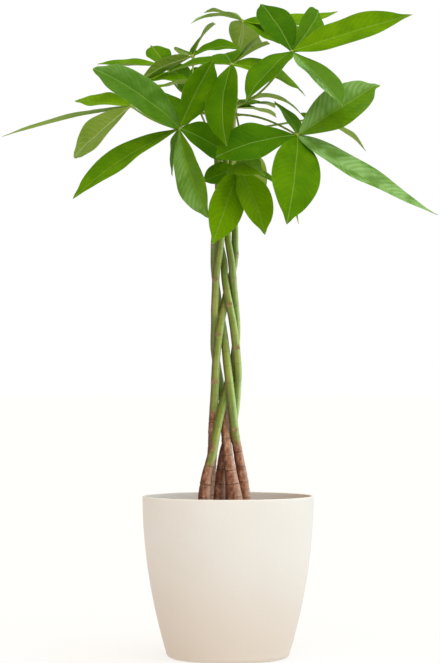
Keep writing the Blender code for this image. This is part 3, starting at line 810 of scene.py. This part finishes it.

# %% [markdown]
# ### How each leaflet looks
#
# Old leaflets are deep green and strongly quilted between their side veins, new ones are yellower and
# flatter. Each line gives, leaflet by leaflet: tone (0 deep, 1 bright), quilting in mm, edge waves as a
# share of the half width, and the finish where it isn't the soft one. The tone is partly the leaflet's
# own colour and partly painted light: leaflets that lie in the shade of others are painted brighter,
# and some that face the lamp are painted deeper.

# %% Tone, quilting, waves and finish
# The shiny and waxy finishes carry a painted sheen, a painted reflection of the sky, besides their stronger
# gloss; the soft one has no painted sheen.
SOFT, SHINY_PAINTED_SHEEN, WAXY_PAINTED_SHEEN = 0, 1, 2
LOOKS = {
    "leaf_upper_right": [(0.70, 0.4, 0.04), (0.42, 0.4, 0.04, SHINY_PAINTED_SHEEN), (0.02, 0.4, 0.05),
                         (0.30, 0.4, 0.05), (0.50, 0.4, 0.04), (0.30, 0.5, 0.05)],
    "leaf_top": [(0.75, 0.3, 0.04), (0.80, 0.3, 0.04, WAXY_PAINTED_SHEEN), (0.80, 0.3, 0.04, WAXY_PAINTED_SHEEN), (0.55, 0.4, 0.04),
                 (0.45, 0.4, 0.04)],
    "leaf_top_front": [(0.25, 0.3, 0.03), (0.25, 0.4, 0.04), (1.00, 0.3, 0.04), (0.45, 0.3, 0.03),
                       (0.45, 0.3, 0.03), (0.40, 0.4, 0.06)],
    "leaf_left": [(0.28, 0.8, 0.04, SHINY_PAINTED_SHEEN), (0.45, 0.35, 0.03), (0.50, 0.4, 0.03),
                  (0.62, 0.6, 0.05, SHINY_PAINTED_SHEEN), (0.25, 0.5, 0.05), (0.30, 0.4, 0.04), (0.32, 0.5, 0.05)],
    "leaf_right": [(0.60, 0.8, 0.05, SHINY_PAINTED_SHEEN), (0.60, 0.5, 0.04, WAXY_PAINTED_SHEEN), (0.45, 0.5, 0.04),
                   (0.12, 0.6, 0.07), (0.30, 0.4, 0.04)],
    "leaf_low_front": [(1.00, 0.4, 0.04), (0.95, 0.5, 0.05), (0.85, 0.6, 0.06, SHINY_PAINTED_SHEEN), (0.45, 0.4, 0.04),
                       (0.50, 0.4, 0.04)],
    "leaf_far_left": [(0.60, 0.3, 0.03), (0.50, 0.5, 0.05), (0.80, 0.3, 0.04), (0.50, 0.3, 0.04)],
    "leaf_upper_left": [(0.45, 0.3, 0.04), (0.45, 0.3, 0.05), (0.40, 0.4, 0.05), (0.55, 0.4, 0.04)],
    "leaf_outer_left": [(0.60, 0.3, 0.03), (0.35, 0.3, 0.05), (0.35, 0.3, 0.04)],
    "leaf_inner_left": [(0.60, 0.3, 0.04), (0.55, 0.4, 0.05), (0.45, 0.3, 0.04)],
    "leaf_inner_right": [(0.60, 0.3, 0.03), (0.55, 0.3, 0.03), (0.50, 0.3, 0.03), (0.45, 0.4, 0.05)],
    "leaf_back_right": [(0.45, 0.3, 0.04), (0.45, 0.3, 0.04), (0.45, 0.3, 0.04)],
    "leaf_low_back": [(0.45, 0.4, 0.05), (0.45, 0.4, 0.05), (0.45, 0.4, 0.05), (0.45, 0.4, 0.05)],
}
# What sets a few leaflets apart, by leaf and number: which half carries the painted sheen, a painted
# reflection of the sky (1 or -1, or 0 for both) and how strongly, how full the outline is, how much the
# drip tip narrows, and how far it hooks down in mm.
SPECIAL = {
    ("leaf_left", 0): {"painted_sheen_side": 1, "painted_sheen_share": 0.3, "fullness": 1.35},
    ("leaf_left", 3): {"painted_sheen_side": 1, "painted_sheen_share": 0.8},
    ("leaf_right", 0): {"painted_sheen_side": -1, "drip": 0.45, "hook": 3},
    ("leaf_upper_right", 1): {"painted_sheen_side": 1},
    ("leaf_low_front", 2): {"painted_sheen_side": -1},
    ("leaf_outer_left", 1): {"drip": 0.5},
    ("leaf_top_front", 0): {"fullness": 1.7},
}
print("looks given for", sum(len(rows) for rows in LOOKS.values()), "leaflets")

# %% [markdown]
# ### The blade's outline and frame
#
# A leaflet starts as a stalk about 2 mm wide, widens to its broadest place and runs out to a drip tip.
# The outline is two powers multiplied: one rises from the hub to the widest place, the other falls
# from it to the tip. The blade's frame is the direction to the tip, the direction out of its glossy
# side, and the one across.

# %% Outline and frame
STALK_HALF_WIDTH = 1.1 * MM
TIP_HALF_WIDTH = 0.3 * MM
DRIP_PLACE = 0.93                # where along the blade the drip tip narrows most
DRIP_REACH = 0.05
FRONT = np.array([0.0, -1.0, 0.0])


def half_width(share, width, widest, fullness, drip):
    """Half the width: (share / widest) to a power times ((1 - share) / (1 - widest)) to a power.

    A bell-shaped share is taken off just before the tip, which makes it a drip tip. The half width is
    never less than the stalk's own near the hub or the tip's own at the end.
    """
    rising = (share / widest) ** (fullness * widest)
    falling = ((1 - share) / (1 - widest)) ** (fullness * (1 - widest))
    narrowed = 1 - drip * np.exp(-((share - DRIP_PLACE) / DRIP_REACH) ** 2)
    least = STALK_HALF_WIDTH + (TIP_HALF_WIDTH - STALK_HALF_WIDTH) * ease(0.1, 0.9, share)
    return np.maximum(width / 2 * rising * falling * narrowed, least)


def blade_frame(reach, face_angle):
    """Along the blade, out of its glossy side, and across it."""
    along = unit(reach)
    toward = unit(FRONT - along * (FRONT @ along))
    upward = np.cross(along, toward)
    if upward[2] + 0.2 * upward[0] < 0:
        upward = -upward
    angle = np.radians(face_angle)
    out = toward * np.cos(angle) + upward * np.sin(angle)
    return along, out, np.cross(along, out)


print("half width at the middle of a 50 mm leaflet:", half_width(np.array(0.5), 50 * MM, 0.5, 2, 0))

# %% [markdown]
# ### The blade's relief
#
# Side veins leave the midrib in pairs, slant forward and bow towards the edge. The blade swells up
# between them like a quilt, so the relief is a half wave from each vein to the next. Along the midrib
# the blade folds up a little, and its edge waves slowly. The underside follows the same shape, with
# the midrib and side veins standing proud, as they do on the plant.

# %% Build one leaflet
BLADE_ROWS = 96
BLADE_COLUMNS = 33               # across the upper side, edge to edge
BLADE_FOLD = 0.22                # the edges stand this share of the half width above the midrib
BLADE_THICKNESS = 0.45 * MM
VEIN_SPACING = 7.5 * MM
VEIN_RISE = 1.35                 # how far a vein runs along the blade for each half width across
MIDRIB_WIDTH = 0.8 * MM


def leaflet(hub, spec, look, seed, painted_sheen_side=0, painted_sheen_share=1.0, fullness=2.0, drip=0.2, hook=0):
    """A closed blade: centre line, plus across times v half width, plus out times the relief.

    The centre line is hub + reach s with an arch and a bend of 4 s (1 - s). Columns run over the upper
    side from edge to edge (v from -1 to 1) and back under it.
    """
    reach, width, face_angle, arch, bend, widest = spec
    tone, quilting, waves, finish = (*look, SOFT)[:4]
    reach = np.array(reach) * MM
    length = np.linalg.norm(reach)
    along, out, across = blade_frame(reach, face_angle)
    s = np.linspace(0.004, 1, BLADE_ROWS)[:, None]
    even = np.linspace(-1, 1, BLADE_COLUMNS)
    upper_v = np.sign(even) * np.abs(even) ** 1.25
    v = np.concatenate([upper_v, upper_v[-2:0:-1]])[None]
    top = np.where(np.arange(v.size) < BLADE_COLUMNS, 1.0, -1.0)[None]
    half = half_width(s, width * MM, widest, fullness, drip)
    off_midrib = np.abs(v) * half

    pairs = np.clip(round(length / VEIN_SPACING), 8, 18)
    slant = VEIN_RISE * width * MM / 2 / length / 1.6
    phase = pairs * (s - slant * np.abs(v) ** 1.3) + 0.6 * patches(seed, s, v * 0 + 0.3, 7, 2)
    phase = phase + 0.12 * patches(seed + 7, s, 0.25 * (v + 1), 14, 6)
    between = np.abs(np.sin(np.pi * phase))
    body = ease(0.04, 0.16, s) * (1 - ease(0.86, 1.0, s))
    quilt = quilting * MM * between * np.abs(v) ** 0.5 * (1 - np.abs(v) ** 5) * body
    fold = BLADE_FOLD * (half - STALK_HALF_WIDTH).clip(0) * (1.4 * np.abs(v) - 0.4 * v ** 2)
    slow = patches(seed + 1, s, 0.5 * (v + 1) * 0.5, 5, 4)
    wave = waves * half * np.abs(v) ** 1.5 * np.sin(TURN * (2.2 * s + 0.37 * seed + 0.3 * np.sign(v)))
    wave = wave + 0.05 * half * slow * body
    stalk = 1 - ease(0.02, 0.09, s)
    thick = BLADE_THICKNESS * np.sqrt(1 - np.abs(v) ** 10)
    thick = thick + stalk * 2 * STALK_HALF_WIDTH * 0.85 * np.sqrt(1 - v ** 2)
    rib = np.exp(-(off_midrib / MIDRIB_WIDTH) ** 2) * (1 - 0.75 * s) * (1 - stalk)
    vein = (1 - between) ** 3 * body * (1 - np.abs(v) ** 4)
    groove = np.exp(-((off_midrib - 1.6 * MM) / (1.0 * MM)) ** 2) * (1 - 0.7 * s) * body
    lift = np.where(top > 0, 0.30 * MM * rib - 0.25 * MM * groove - 0.06 * MM * vein,
                    -0.85 * MM * rib - 0.16 * MM * vein)
    rise = fold + quilt + wave + top * thick / 2 + lift

    centre = hub + reach * s + (out * arch + across * bend) * MM * 4 * s * (1 - s)
    centre = centre - np.array([0, 0, hook * MM]) * ease(0.9, 1.0, s) ** 2
    # Painted sheen: which half of the blade gets the pale painted reflection of the sky, and how strongly.
    bloom = painted_sheen_share * (ease(-0.05, 0.3, v * painted_sheen_side) if painted_sheen_side else 1.0)
    points = centre[:, None] + across * (v * half)[..., None] + out * rise[..., None]
    closed = np.concatenate([v, v[:, :1]], axis=1)
    closed_phase = np.concatenate([phase, phase[:, :1]], axis=1)
    blade = np.stack([closed_phase, np.broadcast_to(closed, closed_phase.shape)], axis=-1)
    size = np.stack(np.broadcast_arrays(s * length, closed * half), axis=-1)
    sides = np.where(top[0] > 0, finish, UNDERSIDE)
    sides[BLADE_COLUMNS - 1] = UNDERSIDE
    return rolled(points, blade=blade, size=size, finish=sides[None], tone=tone, bloom=bloom)


UNDERSIDE, STALK = 3, 4
print("points in one leaflet:", BLADE_ROWS * (2 * BLADE_COLUMNS - 2))

# %% [markdown]
# ### The petiole
#
# The long stalk is round and smooth. It swells where it joins the stem, thins, and thickens again under
# the hub, where the leaflets' own short stalks meet. Its line is one cubic Bezier: it leaves square to
# the bark and then rises to the hub.

# %% Build one petiole
PETIOLE_ROWS = 84
PETIOLE_SIDES = 18
PETIOLE_RADIUS = 1.3 * MM
PETIOLE_PULL = 0.3
HUB_PAST = 2.2 * MM              # how far the knob runs on past the hub
PETIOLE_SEAT = 1.5 * MM          # how deep the foot sits in the stem


def petiole(spec, hub, tone):
    """A swept tube along the Bezier; its radius has a bell at each end and closes round the knob."""
    stem_spec = STEM_ROUTES[spec["stem"]]
    height = np.array([spec["height"] * MM])
    start = stem_centre(stem_spec, height)[0]
    compass = np.radians(spec["compass"])
    outward = np.array([np.cos(compass), np.sin(compass), 0])
    foot = start + outward * (stem_radius(stem_spec, height)[0] - PETIOLE_SEAT)
    span = np.linalg.norm(hub - foot)
    first = foot + outward * span * PETIOLE_PULL
    arrival = unit(unit(hub - foot) + np.array([0, 0, spec["arrival"]]))
    last = hub - arrival * span * PETIOLE_PULL
    t = np.linspace(0, 1, PETIOLE_ROWS)[:, None]
    path = (1 - t) ** 3 * foot + 3 * (1 - t) ** 2 * t * first + 3 * (1 - t) * t ** 2 * last + t ** 3 * hub
    knob = hub + arrival * np.linspace(0.15, 1, 9)[:, None] * HUB_PAST
    path = np.concatenate([path, knob])
    steps = np.linalg.norm(np.diff(path, axis=0), axis=1)
    run = np.concatenate([[0], np.cumsum(steps)])
    left = run[-1] - run
    radii = PETIOLE_RADIUS + 1.0 * MM * np.exp(-(run / (5 * MM)) ** 2) - 0.15 * MM * ease(0, 1, run / run[-1])
    radii = radii + 1.25 * MM * np.exp(-((left - HUB_PAST) / (3.6 * MM)) ** 2)
    radii = radii * np.sqrt(np.clip(1 - (1 - left / (1.3 * HUB_PAST)).clip(0) ** 2, 0.02, 1))
    around = (np.arange(PETIOLE_SIDES) / PETIOLE_SIDES)[None]
    lumps = patches(int(spec["height"]), (run / run[-1])[:, None], around, 30, 5)
    points = swept(path, radii[:, None] * (1 + 0.04 * lumps), PETIOLE_SIDES)
    ends = (np.exp(-(run / (7 * MM)) ** 2) + np.exp(-(left / (9 * MM)) ** 2)).clip(0, 1)[:, None]
    return rolled(points, finish=STALK, tone=tone, ends=ends)


print("petiole rows:", PETIOLE_ROWS)

# %% [markdown]
# ### Leaf finishes
#
# The upper side is a mid green that swings between deep and yellow with `tone`. Two maps carry the
# pattern: `blade` counts the side veins (a whole number on each vein) and gives the place across, and
# `size` is in metres, for lines whose width is a real one. The midrib and veins are paler than the
# blade. Beside them the blade is painted darker, a painted shade in the creases of the quilting, and
# a little paler on its swells. The shiny and waxy finishes add a painted sheen, a pale green painted
# on the swells as a painted reflection of the sky. A Translucent shader lets light through, which is
# what makes a leaf glow when the lamp is behind it.

# %% The upper side
DEEP_GREEN = (0.050, 0.160, 0.001)
MIDDLE_GREEN = (0.095, 0.235, 0.001)
BRIGHT_GREEN = (0.185, 0.375, 0.001)
PALE_VEIN = (0.36, 0.52, 0.12, 1)


def blade_map(tree):
    """Count of veins along, place across, distance from the midrib, and place on the blade in metres."""
    blade = add_node(tree, "ShaderNodeUVMap", {}, uv_map="blade").outputs[0]
    size = add_node(tree, "ShaderNodeUVMap", {}, uv_map="size").outputs[0]
    veins, metres = parts_of(tree, blade), parts_of(tree, size)
    return veins[0], math(tree, "ABSOLUTE", veins[1]), math(tree, "ABSOLUTE", metres[1]), size


def upper_side(name, specular, gloss, vein_share, painted_sheen_amount):
    """The glossy side: how it shines, how pale its side veins are, and how strongly a pale green sheen is
    painted on the swells of the quilting, a painted reflection of the sky.
    """
    made, tree, shader = new_finish(name, Specular_IOR_Level=specular, Specular_Tint=(0.86, 0.97, 1.0, 1))
    count, across, off_midrib, size = blade_map(tree)
    place = object_place(tree)
    beside = math(tree, "PINGPONG", count, 0.5)
    broad = noise(tree, place, 38, detail=2)
    fine = noise(tree, place, 520, detail=4, roughness=0.65)
    tone = math(tree, "ADD", mark(tree, "tone"), remap(tree, broad, 0.3, 0.7, -0.16, 0.16))
    green = ramp(tree, tone, [(0.0, DEEP_GREEN), (0.45, MIDDLE_GREEN), (1.0, BRIGHT_GREEN)])
    # Painted shade: darker in the creases beside the side veins, a little paler on the swells between them.
    painted_crease_shade = ramp(tree, beside, [(0.0, (0.80, 0.84, 0.8)), (0.22, (0.97, 0.97, 0.97)),
                                (0.5, (1.07, 1.05, 1.0))])
    green = blend(tree, 0.7, green, painted_crease_shade, "MULTIPLY")
    mottle = ramp(tree, fine, [(0.3, (0.90, 0.92, 0.9)), (0.7, (1.08, 1.06, 1.0))])
    green = blend(tree, 1.0, green, mottle, "MULTIPLY")
    side_vein = times(tree, remap(tree, beside, 0.0, 0.06, vein_share, 0.0),
                      remap(tree, across, 0.2, 1.0, 1.0, 0.25))
    green = blend(tree, side_vein, green, PALE_VEIN)
    green = blend(tree, remap(tree, across, 0.965, 1.0, 0.0, 0.35), green, PALE_VEIN)
    midrib = remap(tree, off_midrib, 0.2 * MM, 0.7 * MM, 0.44, 0.0)
    green = blend(tree, midrib, green, PALE_VEIN)
    # Painted sheen: a pale green painted in patches on the swells of the quilting, a painted reflection of
    # the sky.
    if painted_sheen_amount:
        bloom = times(tree, remap(tree, beside, 0.0, 0.5, 0.5, 1.0),
                      remap(tree, broad, 0.34, 0.6, 0.2 * painted_sheen_amount, 1.1 * painted_sheen_amount))
        green = blend(tree, times(tree, bloom, mark(tree, "bloom")), green, (0.40, 0.69, 0.27, 1))
    feed(tree, shader, green, remap(tree, fine, 0.3, 0.7, gloss, gloss + 0.12))
    cells = {"Vector": size, "Scale": 620.0}
    net = add_node(tree, "ShaderNodeTexVoronoi", cells, feature="DISTANCE_TO_EDGE").outputs[0]
    relief = math(tree, "ADD", times(tree, fine, 0.7), remap(tree, net, 0.0, 0.2, 0.0, 0.4))
    raise_bump(tree, shader, relief, 0.12 * MM, 0.5)
    glow(tree, shader, 0.2, (0.30, 0.62, 0.01, 1))
    return made


# The shiny and waxy finishes carry the painted sheen; the soft one has none.
soft_leaf = upper_side("soft_leaf", 0.02, 0.50, 0.14, 0.0)
shiny_leaf_painted_sheen = upper_side("shiny_leaf_painted_sheen", 0.12, 0.36, 0.25, 0.42)
waxy_leaf_painted_sheen = upper_side("waxy_leaf_painted_sheen", 0.25, 0.34, 0.3, 0.55)
print("upper finishes:", soft_leaf.name, shiny_leaf_painted_sheen.name, waxy_leaf_painted_sheen.name)

# %% [markdown]
# The underside has no gloss and less colour, because the air just under its skin scatters the light.
# Petioles are a smooth yellow-green, with a tan foot and hub.

# %% The underside and the petioles
pale_underside, tree, shader = new_finish("pale_underside", Specular_IOR_Level=0.15)
count, across, off_midrib, _ = blade_map(tree)
place = object_place(tree)
beside = math(tree, "PINGPONG", count, 0.5)
fine = noise(tree, place, 420, detail=4, roughness=0.65)
broad = noise(tree, place, 30, detail=2)
green = ramp(tree, broad, [(0.3, (0.24, 0.38, 0.028)), (0.7, (0.34, 0.47, 0.062))])
mottle = ramp(tree, fine, [(0.3, (0.90, 0.92, 0.92)), (0.7, (1.07, 1.05, 1.05))])
green = blend(tree, 1.0, green, mottle, "MULTIPLY")
side_vein = times(tree, remap(tree, beside, 0.0, 0.09, 0.6, 0.0),
                  remap(tree, across, 0.3, 1.0, 1.0, 0.3))
green = blend(tree, side_vein, green, (0.43, 0.54, 0.20, 1))
green = blend(tree, remap(tree, off_midrib, 0.6 * MM, 1.3 * MM, 0.85, 0.0), green, (0.46, 0.56, 0.20, 1))
feed(tree, shader, green, remap(tree, fine, 0.3, 0.7, 0.55, 0.7))
raise_bump(tree, shader, fine, 0.12 * MM, 0.5)
glow(tree, shader, 0.2, (0.34, 0.62, 0.03, 1))

green_stalk, tree, shader = new_finish("green_stalk", Specular_IOR_Level=0.2)
place = object_place(tree)
streaks = noise(tree, place, 500, detail=3)
green = ramp(tree, streaks, [(0.3, (0.15, 0.26, 0.02)), (0.7, (0.27, 0.38, 0.05))])
green = blend(tree, remap(tree, mark(tree, "ends"), 0.35, 1.0, 0.0, 0.55), green, (0.40, 0.42, 0.13, 1))
feed(tree, shader, green, remap(tree, streaks, 0.3, 0.7, 0.4, 0.55))
raise_bump(tree, shader, streaks, 0.1 * MM, 0.5)
print("underside and stalk finishes ready")

# %% [markdown]
# ### Grow the leaves
#
# Each leaf is one piece: its petiole and all its leaflets, as it would come off the plant.

# %% Join each leaf
leaf_finishes = [soft_leaf, shiny_leaf_painted_sheen, waxy_leaf_painted_sheen, pale_underside, green_stalk]
for number, (name, spec) in enumerate(LEAVES.items()):
    hub = np.array(spec["hub"]) * MM
    grids = [petiole(spec, hub, 0.5)]
    for index, (shape, look) in enumerate(zip(spec["leaflets"], LOOKS[name])):
        special = SPECIAL.get((name, index), {})
        grids.append(leaflet(hub, shape, look, 300 + 20 * number + 2 * index, **special))
    piece = add_piece(name + "_blades", grids, leaf_finishes, name, sharp_angle=70)
    print(piece.name, "leaflets:", len(grids) - 1, "faces:", len(piece.data.polygons))

# %% [markdown]
# ## The studio
#
# The plant stands on a wide pale floor that runs out of sight. The floor is lit from within as well as
# from above, like a light table, so that it stays white and keeps only a breath of shadow. One broad
# lamp stands high in front, a little to the right. A weaker cool one comes from behind on the right, and
# the pale room fills the rest.

# %% Floor and light
FLOOR_HALF = 60.0
corners = np.array([[-1, -1, 0], [1, -1, 0], [1, 1, 0], [-1, 1, 0]]) * FLOOR_HALF
floor_mesh = bpy.data.meshes.new("studio_floor")
floor_mesh.from_pydata(corners, [], [(0, 1, 2, 3)])
floor = stand("studio_floor", floor_mesh)
pale_floor, tree, shader = new_finish("pale_floor", Roughness=0.9, Specular_IOR_Level=0.0)
shader.inputs["Base Color"].default_value = (0.16, 0.158, 0.154, 1)
shader.inputs["Emission Color"].default_value = (1.0, 0.985, 0.96, 1)
shader.inputs["Emission Strength"].default_value = 0.80
floor_mesh.materials.append(pale_floor)



def sun(name, energy, wide, colour, turn):
    """A lamp so far off that its light is parallel, softened by how wide it looks, all in degrees."""
    light = bpy.data.lights.new(name, "SUN")
    light.energy, light.angle, light.color = energy, np.radians(wide), colour
    stand(name, light).rotation_euler = np.radians(turn)


sun("high_lamp", 1.75, 65, (1.0, 0.985, 0.955), (22, 12, 0))
sun("side_window", 0.55, 30, (0.92, 0.98, 1.0), (-25, 62, 0))

# %% [markdown]
# The room itself is pure white to the camera. As light it is dimmer at eye level and twice as strong
# overhead, like a room under a bright ceiling. What the glossy leaves mirror is a faint cool sky, so
# their green stays deep.

# %% The room
EYE_LEVEL_LIGHT = 0.60
OVERHEAD_LIGHT = 1.20
world = bpy.data.worlds.new("white_room")
bpy.context.scene.world = world
world.use_nodes = True
tree = world.node_tree
seen = tree.nodes["Background"]
seen.inputs["Color"].default_value = (1, 1, 1, 1)
way = parts_of(tree, object_place(tree))
walls = ramp(tree, remap(tree, way[0], -1, 1), [(0.0, (0.72, 0.50, 0.34)), (0.55, (1.0, 0.96, 0.92)),
                                                (1.0, (0.94, 0.98, 1.0))])
ceiling = remap(tree, way[2], 0, 1, EYE_LEVEL_LIGHT, OVERHEAD_LIGHT)
fill = add_node(tree, "ShaderNodeBackground", {"Color": walls, "Strength": ceiling})
mirrored = add_node(tree, "ShaderNodeBackground", {"Color": (0.80, 0.92, 1.0, 1), "Strength": 0.25})
ray = add_node(tree, "ShaderNodeLightPath", {})


def either(kind, otherwise, when):
    """The second light for rays of one kind, and the first for all others."""
    places = {0: ray.outputs[kind], 1: otherwise.outputs[0], 2: when.outputs[0]}
    return add_node(tree, "ShaderNodeMixShader", places)


room = either("Is Camera Ray", either("Is Glossy Ray", fill, mirrored), seen)
tree.links.new(room.outputs[0], tree.nodes["World Output"].inputs["Surface"])
bpy.context.scene.view_settings.view_transform = "Standard"
print("lamp, floor and room ready")

# %% [markdown]
# ## The camera
#
# A long lens about two and a half metres away, a little above the rim and tipped up by a degree or so,
# keeps the pot's sides nearly parallel and shows only a sliver of its inside.

# %% Place the camera
CAMERA_PLACE = (-0.0094, -2.57, 0.317)
CAMERA_TILT = 91.40              # 90 looks level, and more looks up
FOCAL_LENGTH = 119.2             # in mm, on a sensor 36 mm wide
lens = bpy.data.cameras.new("long_lens")
lens.lens = FOCAL_LENGTH
lens.sensor_width = 36
camera = stand("long_lens", lens)
camera.location = CAMERA_PLACE
camera.rotation_euler = (np.radians(CAMERA_TILT), 0, 0)
bpy.context.scene.camera = camera
print("camera at", tuple(camera.location))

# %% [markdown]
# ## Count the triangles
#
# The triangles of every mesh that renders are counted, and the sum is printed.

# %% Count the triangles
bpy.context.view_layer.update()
triangles = 0
for piece in bpy.data.objects:
    if piece.type == "MESH" and not piece.hide_render:
        triangles += sum(len(face.vertices) - 2 for face in piece.data.polygons)
print("triangles in all:", triangles)
